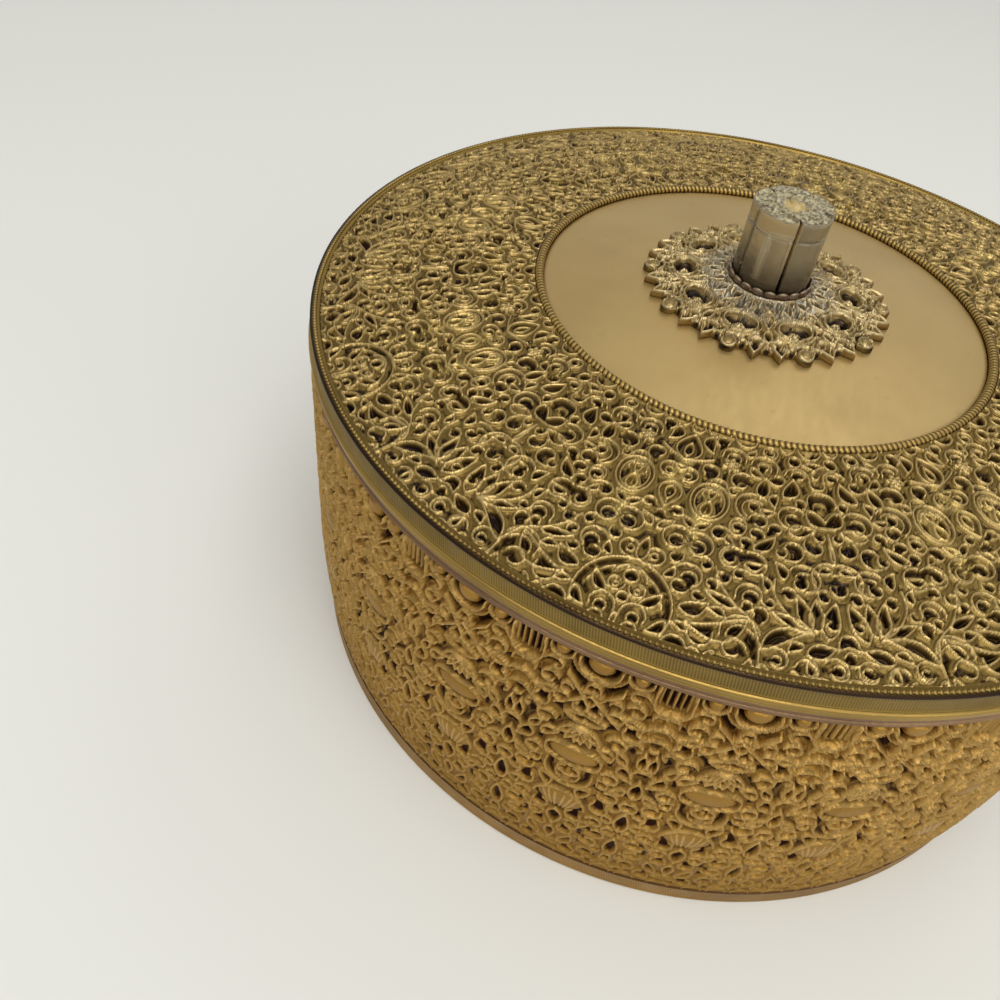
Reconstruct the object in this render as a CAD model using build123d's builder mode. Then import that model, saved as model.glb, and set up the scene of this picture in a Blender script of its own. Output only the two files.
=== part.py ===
from build123d import *
from math import cos, pi, radians, sin, sqrt
import os

# Round gilt vanity box. The lid rests on a rolled lip and is centred by the sleeve inside it.
# Millimetres. The axis is +Z, the table is z = 0, and the front of the box faces -Y.

# Driving sizes of the box
lid_radius = 90.0            # outside of the ribbed band round the lid
wall_height = 66.8           # embossed side, between the base band and the lip
wall_waist_height = 30.0     # where the straight side starts to draw in towards the base
wall_proud = 0.4             # how far the embossing stands outside the lid's band
base_band_height = 4.8
base_band_wall = 1.7         # upright of the base band, outside the side's inner face
base_band_flange = 0.9       # its turned-in foot
base_flange_width = 2.6
base_edge_round = 0.8
bottom_plate_thickness = 1.0
felt_margin = 0.3
lip_height = 2.0
lip_edge_round = 0.7
sleeve_thickness = 0.9
sleeve_stand = 2.6           # how far the sleeve stands up into the lid
lining_thickness = 1.4
lining_drop = 0.8            # lining's edge below the sleeve's edge
floor_pad_thickness = 2.0
layer_gap = 0.05             # between nested pieces that are pressed or soldered together
soft_gap = 0.3               # round cloth and felt
lid_clearance = 0.4          # radial, between the sleeve and the lid's skirt

# Driving sizes of the lid
skirt_thickness = 0.8
rim_band_thickness = 1.8
rim_band_height = 3.7
bead_height = 2.3
bead_proud = 0.5
bead_edge_round = 0.9
pearl_radius = 0.45
pearl_inset = 0.9            # pearl row's middle, in from the band's outside
dome_rise = 5.2              # from the ring's outer edge to the rope ring
dome_bulge = 0.7             # ring's middle above the straight line
ring_thickness = 1.9
pan_thickness = 0.7
rope_radius = 45.5           # middle of the rope ring
rope_width = 1.7
rope_proud = 0.2             # above the filigree ring's inner edge
disc_recess = 1.2            # disc's edge below the rope ring's crest
disc_dome = 2.4
disc_thickness = 1.0
lid_lining_thickness = 0.8
lid_lining_margin = 1.2      # in from the base's lining

# Driving sizes of the rosette and the knob
rosette_radius = 24.75
rosette_lobes = 10
rosette_rim_height = 1.75    # above the disc, at the rosette's points
rosette_rise = 1.8           # from its rim to its flat middle
rosette_shell = 1.4
rosette_middle_radius = 9.0
rosette_boss_radius = 4.0
rosette_valley = 2.1         # depth of the notches between its points
rosette_bead_radius = 1.5
rosette_point_width = 4.2
rosette_window_width = 6.8   # the ten large windows
rosette_window_margin = 5.65  # from the windows to the rosette's edge
rosette_window_bar = 2.7     # from the middle of the small eyes to the windows
rosette_eye_bar = 2.4        # from the flat middle to the middle of the eyes
rosette_eye_radius = 1.0
rosette_notch_margin = 3.85  # from the middle of the small holes near the edge to the edge
rosette_notch_radius = 0.8
cup_floor = 0.5
cup_rim = 0.8
cup_wall = 0.7
knob_radius = 7.75
knob_height = 14.9
knob_lobes = 5
knob_cusp_depth = 0.45       # lobes' meeting line, in from the knob's outside
knob_slot_width = 0.6
knob_slot_depth = 1.5
knob_line_below_top = 3.9
knob_line_depth = 0.2
knob_line_width = 0.3
knob_edge = 0.35
screw_radius = 2.0
screw_reach = 8.8            # into the knob
screw_tip_play = 0.6
hole_clearance = 0.2
screw_head_radius = 3.8
screw_head_height = 2.4
screw_slot_width = 1.0
screw_slot_depth = 1.1
washer_radius = 5.4
washer_thickness = 0.8

# Where the repeated ornament stands round the axis, in degrees
wall_repeats = 24
wall_phase = -92.2
lid_repeats = 8
lid_phase = -93.4
rosette_phase = -97.5
knob_phase = -108.6

# Recesses of the embossing, the same in every repeat
comb_width = 4.6
comb_height = 6.0
comb_below_lip = 3.6
scallop_radius = 4.6
leaf_width = 9.0
leaf_height = 6.4
leaf_below_lip = 30.0
recess_depth = 1.1
scroll_recess_radius = 3.4
scroll_recess_rings = (54.0, 63.0, 72.0, 81.0)

# Heights above the table that follow from these
base_flange_top = base_band_flange
bottom_plate_top = base_flange_top + layer_gap + bottom_plate_thickness
wall_bottom = base_band_height
wall_top = wall_bottom + wall_height
seat_height = wall_top + lip_height
sleeve_top = seat_height + sleeve_stand
lining_top = sleeve_top - lining_drop
floor_pad_bottom = bottom_plate_top + layer_gap
floor_pad_top = floor_pad_bottom + floor_pad_thickness
bead_top = seat_height + bead_height
rim_top = bead_top + rim_band_height

# Radii that follow
rim_inner = lid_radius - rim_band_thickness
skirt_outer = rim_inner - layer_gap
skirt_inner = skirt_outer - skirt_thickness
sleeve_outer = skirt_inner - lid_clearance
sleeve_inner = sleeve_outer - sleeve_thickness
wall_inner = sleeve_outer + layer_gap
wall_outer = lid_radius + wall_proud
lining_outer = sleeve_inner - layer_gap
lining_inner = lining_outer - lining_thickness
base_foot_inner = wall_inner - base_flange_width
base_radius = wall_inner + base_band_wall
screw_hole = screw_radius + hole_clearance

# Rings of holes in the rosette
rosette_eye_ring = rosette_middle_radius + rosette_eye_bar
rosette_notch_ring = rosette_radius - rosette_notch_margin
rosette_window_inner = rosette_eye_ring + rosette_window_bar
rosette_window_outer = rosette_radius - rosette_window_margin
rosette_window_ring = (rosette_window_inner + rosette_window_outer) / 2
rosette_window_depth = rosette_window_outer - rosette_window_inner

# Lid's profile: ring, rope ring and disc, from the outside in
ring_outer = skirt_outer
rope_outer = rope_radius + rope_width / 2
rope_inner = rope_radius - rope_width / 2
ring_inner = rope_outer + layer_gap
ring_edge_top = rim_top
ring_crest = ring_edge_top + dome_rise
rope_top = ring_crest + rope_proud
disc_radius = rope_inner - layer_gap
disc_edge_top = rope_top - disc_recess
disc_apex = disc_edge_top + disc_dome
pan_below_ring = ring_thickness + layer_gap
pan_apex = disc_apex - disc_thickness - layer_gap
ring_middle_radius = (ring_outer + ring_inner) / 2
ring_middle_top = (ring_edge_top + ring_crest) / 2 + dome_bulge


def dome_height(radius):
    """Height of the disc's top, a shallow spherical cap, at a radius."""
    sphere = (disc_radius**2 + disc_dome**2) / (2 * disc_dome)
    return disc_apex - sphere + sqrt(sphere**2 - radius**2)


def ring_height(radius):
    """Height of the filigree ring's top at a radius."""
    share = (ring_outer - radius) / (ring_outer - ring_inner)
    return ring_edge_top + dome_rise * share + 4 * dome_bulge * share * (1 - share)


rosette_edge_bottom = dome_height(rosette_radius) + layer_gap
rosette_edge_top = dome_height(rosette_radius) + rosette_rim_height
rosette_top = rosette_edge_top + rosette_rise
cup_top = rosette_top + cup_floor + cup_rim
knob_bottom = rosette_top + cup_floor
knob_top = knob_bottom + knob_height


def ring_profile(inner, outer, bottom, top):
    """A rectangular section on the XZ plane, for a ring round the axis."""
    with Locations((inner, bottom)):
        Rectangle(outer - inner, top - bottom, align=Align.MIN)


def facing_out(angle, radius, height):
    """Plane on the box's side, facing away from the axis, with its Y up."""
    a = radians(angle)
    outward = Vector(cos(a), sin(a), 0)
    return Plane(origin=outward * radius + Vector(0, 0, height), x_dir=(-sin(a), cos(a), 0), z_dir=outward)


def save(part, label):
    """Name a finished piece and write it."""
    part.label = label
    export_step(part, f"parts/{label}.step")


os.makedirs("parts", exist_ok=True)

# Base band: ribbed foot ring with a turned-in flange that carries the bottom plate
with BuildPart() as base_band:
    with BuildSketch(Plane.XZ) as band_profile:
        with BuildLine():
            Polyline(
                (base_foot_inner, 0),
                (base_radius, 0),
                (base_radius, base_band_height),
                (wall_inner, base_band_height),
                (wall_inner, base_flange_top),
                (base_foot_inner, base_flange_top),
                close=True,
            )
        make_face()
        outer_corner = band_profile.vertices().group_by(Axis.Y)[0].sort_by(Axis.X)[-1]
        fillet(outer_corner, radius=base_edge_round)
    revolve(axis=Axis.Z)
save(base_band.part, "base_band")

# Felt under the bottom plate, level with the foot
with BuildPart() as base_felt:
    with BuildSketch():
        Circle(base_foot_inner - felt_margin)
    extrude(amount=base_flange_top)
save(base_felt.part, "base_felt")

# Bottom plate, resting on the band's flange
with BuildPart() as bottom_plate:
    with BuildSketch(Plane.XY.offset(base_flange_top + layer_gap)):
        Circle(sleeve_outer)
    extrude(amount=bottom_plate_thickness)
save(bottom_plate.part, "bottom_plate")

# Embossed side: straight above the waist and drawn in below it, with its deepest recesses
with BuildPart() as wall_shell:
    with BuildSketch(Plane.XZ):
        with BuildLine():
            side = Line((wall_outer, wall_top), (wall_outer, wall_waist_height))
            TangentArc(side @ 1, (base_radius, wall_bottom), tangent=side % 1)
            Polyline((base_radius, wall_bottom), (wall_inner, wall_bottom), (wall_inner, wall_top), side @ 0)
        make_face()
    revolve(axis=Axis.Z)
    comb_planes = [
        facing_out(wall_phase + 360 / wall_repeats * (i + 0.5), wall_outer, wall_top - comb_below_lip)
        for i in range(wall_repeats)
    ]
    with BuildSketch(*comb_planes):
        RectangleRounded(comb_width, comb_height, comb_width / 5)
    extrude(amount=-recess_depth, mode=Mode.SUBTRACT)
    scallop_planes = [
        facing_out(wall_phase + 360 / wall_repeats * i, wall_outer, wall_top - comb_below_lip)
        for i in range(wall_repeats)
    ]
    with BuildSketch(*scallop_planes):
        Circle(scallop_radius)
        Circle(scallop_radius / 2, mode=Mode.SUBTRACT)
    extrude(amount=-recess_depth, mode=Mode.SUBTRACT)
    leaf_planes = [
        facing_out(wall_phase + 360 / wall_repeats * i, wall_outer, wall_top - leaf_below_lip)
        for i in range(wall_repeats)
    ]
    with BuildSketch(*leaf_planes):
        Ellipse(leaf_width / 2, leaf_height / 2)
        Ellipse(leaf_width / 5, leaf_height / 3, mode=Mode.SUBTRACT)
    extrude(amount=-recess_depth, mode=Mode.SUBTRACT)
save(wall_shell.part, "wall_shell")

# Rolled lip on the side's top edge, flat on top where the lid sits
with BuildPart() as body_lip:
    with BuildSketch(Plane.XZ) as lip_profile:
        ring_profile(wall_inner, lid_radius, wall_top, seat_height)
        outer_edge = lip_profile.vertices().group_by(Axis.X)[-1]
        fillet(outer_edge, radius=lip_edge_round)
    revolve(axis=Axis.Z)
save(body_lip.part, "body_lip")

# Inner sleeve: plain tube on the bottom plate that stands up inside the lid
with BuildPart() as inner_sleeve:
    with BuildSketch(Plane.XZ):
        ring_profile(sleeve_inner, sleeve_outer, bottom_plate_top, sleeve_top)
    revolve(axis=Axis.Z)
save(inner_sleeve.part, "inner_sleeve")

# Cloth-covered card round the inside, and the padded floor within it
with BuildPart() as side_lining:
    with BuildSketch(Plane.XZ):
        ring_profile(lining_inner, lining_outer, bottom_plate_top + layer_gap, lining_top)
    revolve(axis=Axis.Z)
save(side_lining.part, "side_lining")

with BuildPart() as floor_pad:
    with BuildSketch(Plane.XY.offset(floor_pad_bottom)):
        Circle(lining_inner - soft_gap)
    extrude(amount=floor_pad_thickness)
save(floor_pad.part, "floor_pad")

# Lid's lower bead, the bright roll that sits on the lip
with BuildPart() as lower_bead:
    with BuildSketch(Plane.XZ) as bead_profile:
        ring_profile(rim_inner, lid_radius + bead_proud, seat_height, bead_top)
        outer_edge = bead_profile.vertices().group_by(Axis.X)[-1]
        fillet(outer_edge, radius=bead_edge_round)
    revolve(axis=Axis.Z)
save(lower_bead.part, "lower_bead")

# Finely ribbed band above the bead
with BuildPart() as rim_band:
    with BuildSketch(Plane.XZ):
        ring_profile(rim_inner, lid_radius, bead_top, rim_top)
    revolve(axis=Axis.Z)
save(rim_band.part, "rim_band")

# Row of tiny pearls, as one bevelled ring on the band's top edge
with BuildPart() as pearl_row:
    with BuildSketch(Plane.XZ):
        with BuildLine():
            pearl_middle = lid_radius - pearl_inset
            Polyline(
                (pearl_middle - pearl_radius, rim_top),
                (pearl_middle + pearl_radius, rim_top),
                (pearl_middle + pearl_radius / 2, rim_top + pearl_radius),
                (pearl_middle - pearl_radius / 2, rim_top + pearl_radius),
                close=True,
            )
        make_face()
    revolve(axis=Axis.Z)
save(pearl_row.part, "pearl_row")

# Lid pan: plain spun dish with a skirt, which carries every ornamental piece of the lid
with BuildPart() as lid_pan:
    with BuildSketch(Plane.XZ):
        with BuildLine():
            edge_top = ring_edge_top - pan_below_ring
            ring_top = ring_crest - pan_below_ring
            middle_top = ring_middle_top - pan_below_ring
            under = pan_thickness
            Polyline((skirt_inner, edge_top - under), (skirt_inner, seat_height), (skirt_outer, seat_height),
                     (skirt_outer, edge_top))
            ThreePointArc((skirt_outer, edge_top), (ring_middle_radius, middle_top), (ring_inner, ring_top))
            Line((ring_inner, ring_top), (disc_radius, disc_edge_top - disc_thickness - layer_gap))
            dome_middle = disc_radius / 2
            ThreePointArc(
                (disc_radius, disc_edge_top - disc_thickness - layer_gap),
                (dome_middle, dome_height(dome_middle) - disc_thickness - layer_gap),
                (0, pan_apex),
            )
            Line((0, pan_apex), (0, pan_apex - under))
            ThreePointArc(
                (0, pan_apex - under),
                (dome_middle, dome_height(dome_middle) - disc_thickness - layer_gap - under),
                (disc_radius, disc_edge_top - disc_thickness - layer_gap - under),
            )
            Line((disc_radius, disc_edge_top - disc_thickness - layer_gap - under), (ring_inner, ring_top - under))
            ThreePointArc(
                (ring_inner, ring_top - under),
                (ring_middle_radius, middle_top - under),
                (skirt_inner, edge_top - under),
            )
        make_face()
    revolve(axis=Axis.Z)
    with Locations((0, 0, pan_apex)):
        Hole(screw_hole)
save(lid_pan.part, "lid_pan")

# Filigree ring: the domed, embossed ring of the lid, with the deepest hollows of its scrolls
with BuildPart() as filigree_ring:
    with BuildSketch(Plane.XZ):
        with BuildLine():
            top = ThreePointArc(
                (ring_outer, ring_edge_top), (ring_middle_radius, ring_middle_top), (ring_inner, ring_crest)
            )
            Line(top @ 1, (ring_inner, ring_crest - ring_thickness))
            bottom = ThreePointArc(
                (ring_inner, ring_crest - ring_thickness),
                (ring_middle_radius, ring_middle_top - ring_thickness),
                (ring_outer, ring_edge_top - ring_thickness),
            )
            Line(bottom @ 1, top @ 0)
        make_face()
    revolve(axis=Axis.Z)
    for recess_ring in scroll_recess_rings:
        with BuildSketch(Plane.XY.offset(ring_height(recess_ring) - recess_depth)):
            for side in (-1, 1):
                recess_angle = lid_phase + side * 90 / lid_repeats
                with PolarLocations(recess_ring, lid_repeats, start_angle=recess_angle):
                    Circle(scroll_recess_radius)
        extrude(amount=dome_rise, mode=Mode.SUBTRACT)
save(filigree_ring.part, "filigree_ring")

# Rope ring round the disc
with BuildPart() as rope_ring:
    with BuildSketch(Plane.XZ) as rope_profile:
        ring_profile(rope_inner, rope_outer, ring_crest - pan_below_ring + layer_gap, rope_top)
        fillet(rope_profile.vertices().group_by(Axis.Y)[-1], radius=rope_width / 2.2)
    revolve(axis=Axis.Z)
save(rope_ring.part, "rope_ring")

# Plain satin disc, slightly domed
with BuildPart() as centre_disc:
    with BuildSketch(Plane.XZ):
        with BuildLine():
            dome_middle = disc_radius / 2
            top = ThreePointArc(
                (disc_radius, disc_edge_top), (dome_middle, dome_height(dome_middle)), (0, disc_apex)
            )
            Line(top @ 1, (0, disc_apex - disc_thickness))
            bottom = ThreePointArc(
                (0, disc_apex - disc_thickness),
                (dome_middle, dome_height(dome_middle) - disc_thickness),
                (disc_radius, disc_edge_top - disc_thickness),
            )
            Line(bottom @ 1, top @ 0)
        make_face()
    revolve(axis=Axis.Z)
    with Locations((0, 0, disc_apex)):
        Hole(screw_hole)
save(centre_disc.part, "centre_disc")

# Lid's lining, a thin cloth-covered card under the pan with a hole round the washer
with BuildPart() as lid_lining:
    card_edge = lining_inner - lid_lining_margin
    card_hole = washer_radius + soft_gap
    card_top = disc_edge_top - disc_thickness - layer_gap - pan_thickness - soft_gap
    card_edge_top = ring_height(card_edge) - pan_below_ring - pan_thickness - 2 * soft_gap
    with BuildSketch(Plane.XZ):
        with BuildLine():
            Polyline(
                (card_hole, card_top - lid_lining_thickness),
                (ring_inner, card_top - lid_lining_thickness),
                (card_edge, card_edge_top - lid_lining_thickness),
                (card_edge, card_edge_top),
                (ring_inner, card_top),
                (card_hole, card_top),
                close=True,
            )
        make_face()
    revolve(axis=Axis.Z)
save(lid_lining.part, "lid_lining")

# Rosette: pierced casting with ten lobes; its edge runs bead, point, point
with BuildPart() as rosette:
    with BuildSketch(Plane.XZ):
        with BuildLine():
            Polyline(
                (0, rosette_top),
                (rosette_middle_radius, rosette_top),
                (rosette_radius, rosette_edge_top),
                (rosette_radius, rosette_edge_bottom),
                (rosette_middle_radius, rosette_top - rosette_shell),
                (rosette_boss_radius, rosette_top - rosette_shell),
                (rosette_boss_radius, disc_apex),
                (0, disc_apex),
                close=True,
            )
        make_face()
    revolve(axis=Axis.Z)
    with BuildSketch(Plane.XY.offset(disc_apex - disc_dome)):
        Circle(rosette_radius - rosette_valley)
        with PolarLocations(rosette_radius - rosette_bead_radius, rosette_lobes, start_angle=rosette_phase):
            Circle(rosette_bead_radius)
        for third in (1, 2):
            point_angle = rosette_phase + third * 120 / rosette_lobes
            with PolarLocations(rosette_radius - rosette_valley, rosette_lobes, start_angle=point_angle):
                Polygon(
                    (-rosette_valley / 2, -rosette_point_width / 2),
                    (rosette_valley, 0),
                    (-rosette_valley / 2, rosette_point_width / 2),
                    align=None,
                )
    extrude(amount=rosette_top - disc_apex + disc_dome, mode=Mode.INTERSECT)
    with BuildSketch(Plane.XY.offset(disc_apex)):
        with PolarLocations(rosette_window_ring, rosette_lobes, start_angle=rosette_phase):
            Ellipse(rosette_window_depth / 2, rosette_window_width / 2)
        with PolarLocations(rosette_eye_ring, 2 * rosette_lobes, start_angle=rosette_phase + 90 / rosette_lobes):
            Circle(rosette_eye_radius)
        for third in (1, 2):
            notch_angle = rosette_phase + third * 120 / rosette_lobes
            with PolarLocations(rosette_notch_ring, rosette_lobes, start_angle=notch_angle):
                Circle(rosette_notch_radius)
        Circle(screw_hole)
    extrude(amount=knob_height, both=True, mode=Mode.SUBTRACT)
save(rosette.part, "rosette")

# Shallow cup that the knob stands in
with BuildPart() as knob_cup:
    with BuildSketch(Plane.XZ):
        with BuildLine():
            Polyline(
                (screw_hole, rosette_top),
                (knob_radius + layer_gap + cup_wall, rosette_top),
                (knob_radius + layer_gap + cup_wall, cup_top),
                (knob_radius + layer_gap, cup_top),
                (knob_radius + layer_gap, knob_bottom),
                (screw_hole, knob_bottom),
                close=True,
            )
        make_face()
    revolve(axis=Axis.Z)
save(knob_cup.part, "knob_cup")

# Knob: clear column of round lobes with narrow slots between them and a fine line below its top
lobe_half = pi / knob_lobes
knob_cusp = knob_radius - knob_cusp_depth
lobe_radius = (knob_radius**2 + knob_cusp**2 - 2 * knob_radius * knob_cusp * cos(lobe_half)) / (
    2 * (knob_radius - knob_cusp * cos(lobe_half))
)


def lobed_section(inset):
    """The knob's section, drawn in by an inset all round."""
    with PolarLocations(knob_radius - lobe_radius, knob_lobes, start_angle=knob_phase):
        Circle(lobe_radius - inset)
    with PolarLocations(knob_radius, knob_lobes, start_angle=knob_phase + 180 / knob_lobes):
        Rectangle(2 * knob_slot_depth, knob_slot_width, mode=Mode.SUBTRACT)


with BuildPart() as knob:
    line_bottom = knob_top - knob_line_below_top
    line_top = line_bottom + knob_line_width
    with BuildSketch(Plane.XY.offset(knob_bottom)):
        lobed_section(0)
    extrude(amount=line_bottom - knob_bottom)
    with BuildSketch(Plane.XY.offset(line_bottom)):
        lobed_section(knob_line_depth)
    extrude(amount=knob_line_width)
    with BuildSketch(Plane.XY.offset(line_top)):
        lobed_section(0)
    extrude(amount=knob_top - line_top)
    chamfer(knob.edges().group_by(Axis.Z)[-1], length=knob_edge)
    with BuildSketch(Plane.XY.offset(knob_bottom)):
        Circle(screw_radius + layer_gap)
    extrude(amount=screw_reach + screw_tip_play, mode=Mode.SUBTRACT)
save(knob.part, "knob")

# Washer under the pan and the slotted screw that goes up through the lid into the knob
washer_top = pan_apex - pan_thickness - layer_gap
washer_bottom = washer_top - washer_thickness

with BuildPart() as knob_washer:
    with BuildSketch(Plane.XY.offset(washer_bottom)):
        Circle(washer_radius)
        Circle(screw_hole, mode=Mode.SUBTRACT)
    extrude(amount=washer_thickness)
save(knob_washer.part, "knob_washer")

with BuildPart() as knob_screw:
    with BuildSketch(Plane.XY.offset(washer_bottom - screw_head_height)):
        Circle(screw_head_radius)
    extrude(amount=screw_head_height)
    head_bottom = knob_screw.faces().sort_by(Axis.Z)[0]
    fillet(head_bottom.edges(), radius=screw_head_height / 3)
    with BuildSketch(Plane.XY.offset(washer_bottom - screw_head_height)):
        Rectangle(2 * screw_head_radius, screw_slot_width)
    extrude(amount=screw_slot_depth, mode=Mode.SUBTRACT)
    with BuildSketch(Plane.XY.offset(washer_bottom)):
        Circle(screw_radius)
    extrude(amount=knob_bottom + screw_reach - washer_bottom)
save(knob_screw.part, "knob_screw")
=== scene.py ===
import bpy
import math
import numpy as np
from mathutils import Matrix, Vector


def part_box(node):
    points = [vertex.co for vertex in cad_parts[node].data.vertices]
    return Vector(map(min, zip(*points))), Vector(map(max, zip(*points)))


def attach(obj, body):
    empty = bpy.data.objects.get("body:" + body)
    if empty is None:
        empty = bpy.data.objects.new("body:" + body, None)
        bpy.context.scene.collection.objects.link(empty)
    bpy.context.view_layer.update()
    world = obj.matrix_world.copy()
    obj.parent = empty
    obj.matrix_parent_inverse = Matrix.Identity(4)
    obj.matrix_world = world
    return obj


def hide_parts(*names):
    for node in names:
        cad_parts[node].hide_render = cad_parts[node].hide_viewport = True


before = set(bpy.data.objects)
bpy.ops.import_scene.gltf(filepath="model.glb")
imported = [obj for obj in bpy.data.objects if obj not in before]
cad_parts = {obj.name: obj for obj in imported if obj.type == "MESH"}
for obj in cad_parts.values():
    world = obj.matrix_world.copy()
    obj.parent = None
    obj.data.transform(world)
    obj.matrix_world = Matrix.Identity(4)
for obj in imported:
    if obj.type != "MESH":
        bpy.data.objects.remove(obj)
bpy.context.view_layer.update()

# Round gilt vanity box. The ornament is worked out in millimetres and written to the meshes in metres.
MM = 0.001


def radius_of(node):
    """Outer radius of a node of the frame, in millimetres."""
    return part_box(node)[1][0] / MM


def levels_of(node):
    """Lowest and highest level of a node of the frame, in millimetres."""
    low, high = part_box(node)
    return low[2] / MM, high[2] / MM


# Sizes taken from the frame
lid_radius = radius_of("rim_band")
rim_bottom, rim_top = levels_of("rim_band")
bead_radius = radius_of("lower_bead")
seat_height, bead_top = levels_of("lower_bead")
wall_radius = radius_of("wall_shell")
wall_bottom, wall_top = levels_of("wall_shell")
base_radius = radius_of("base_band")
base_top = levels_of("base_band")[1]
sleeve_radius = radius_of("inner_sleeve")
ring_outer = radius_of("filigree_ring")
ring_crest = levels_of("filigree_ring")[1]
rope_outer = radius_of("rope_ring")
rope_top = levels_of("rope_ring")[1]
disc_radius = radius_of("centre_disc")
disc_apex = levels_of("centre_disc")[1]
rosette_top = levels_of("rosette")[1]
knob_bottom, knob_top = levels_of("knob")
cup_radius = radius_of("knob_cup")
cup_bottom, cup_top = levels_of("knob_cup")
lining_radius = radius_of("side_lining")
lining_top = levels_of("side_lining")[1]
floor_radius = radius_of("floor_pad")
floor_bottom, floor_top = levels_of("floor_pad")
felt_radius = radius_of("base_felt")
felt_top = levels_of("base_felt")[1]
card_radius = radius_of("lid_lining")
card_bottom, card_top = levels_of("lid_lining")

# Sizes of the plain forms that carry the ornament
layer_gap = 0.05  # between neighbouring pieces
rim_thickness = 1.8
base_flange_width = 2.6
wall_waist = 30.0  # height where the side starts to draw in towards the base
ring_thickness = 1.9
dome_bulge = 0.7  # filigree ring's middle above the straight line
rope_width = 1.7
disc_dome = 2.4
disc_thickness = 1.0
screw_hole = 2.2
rosette_radius = 24.75
rosette_rise = 1.8  # from the rosette's rim to its flat middle
rosette_middle = 9.0  # radius of the flat middle
window_ring = 16.6  # radius on which the rosette's windows stand
knob_radius = 7.75
knob_lobes = 5
rim_inner = lid_radius - rim_thickness
band_inner = sleeve_radius + layer_gap
ring_inner = rope_outer + layer_gap

# Where the repeated ornament stands round the axis, in degrees
wall_repeats, wall_phase = 24, -92.2
lid_repeats, lid_phase = 8, -92.8
rosette_repeats, rosette_phase = 10, -97.5
knob_phase = -108.6


# Curves that the ornament is drawn with. The concave side of each lies to the left of its direction.
def scroll(x, y, radius, start, sweep, shrink=1.0, steps=18):
    """Part of a circle, or a curl whose radius shrinks; degrees run from +x to +y."""
    t = np.linspace(0, 1, steps)
    a = np.radians(start + sweep * t)
    r = radius * shrink**t
    points = np.stack([x + r * np.cos(a), y + r * np.sin(a)], 1)
    return points if sweep > 0 else points[::-1]


def oval(x, y, half_width, half_height, steps=24):
    """Closed ellipse."""
    a = np.linspace(0, 2 * np.pi, steps)
    return np.stack([x + half_width * np.cos(a), y + half_height * np.sin(a)], 1)


def leaf(x, y, tip_x, tip_y, half_width, bend=0.0, steps=11):
    """Closed leaf from its base to its tip, bent sideways by a share of its length."""
    base, along = np.array([x, y]), np.array([tip_x - x, tip_y - y])
    length = np.hypot(*along)
    across = np.array([-along[1], along[0]]) / length
    t = np.linspace(0, 1, steps)
    belly = half_width * np.sin(np.pi * t**0.75)
    middle = bend * length * 4 * t * (1 - t)
    right = base + np.outer(t, along) + np.outer(middle - belly, across)
    left = base + np.outer(t, along) + np.outer(middle + belly, across)
    return np.vstack([right, left[::-1]])


def stem(*points, steps=8):
    """A smooth stalk through a few points."""
    p = np.array(points, float)
    t = np.linspace(0, len(p) - 1, steps * (len(p) - 1) + 1)
    i = np.minimum(t.astype(int), len(p) - 2)
    f = (t - i)[:, None]
    before, after = p[np.maximum(i - 1, 0)], p[np.minimum(i + 2, len(p) - 1)]
    a, b = p[i], p[i + 1]
    square = 2 * before - 5 * a + 4 * b - after
    cube = 3 * a - before - 3 * b + after
    return 0.5 * (2 * a + (b - before) * f + square * f**2 + cube * f**3)


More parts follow.
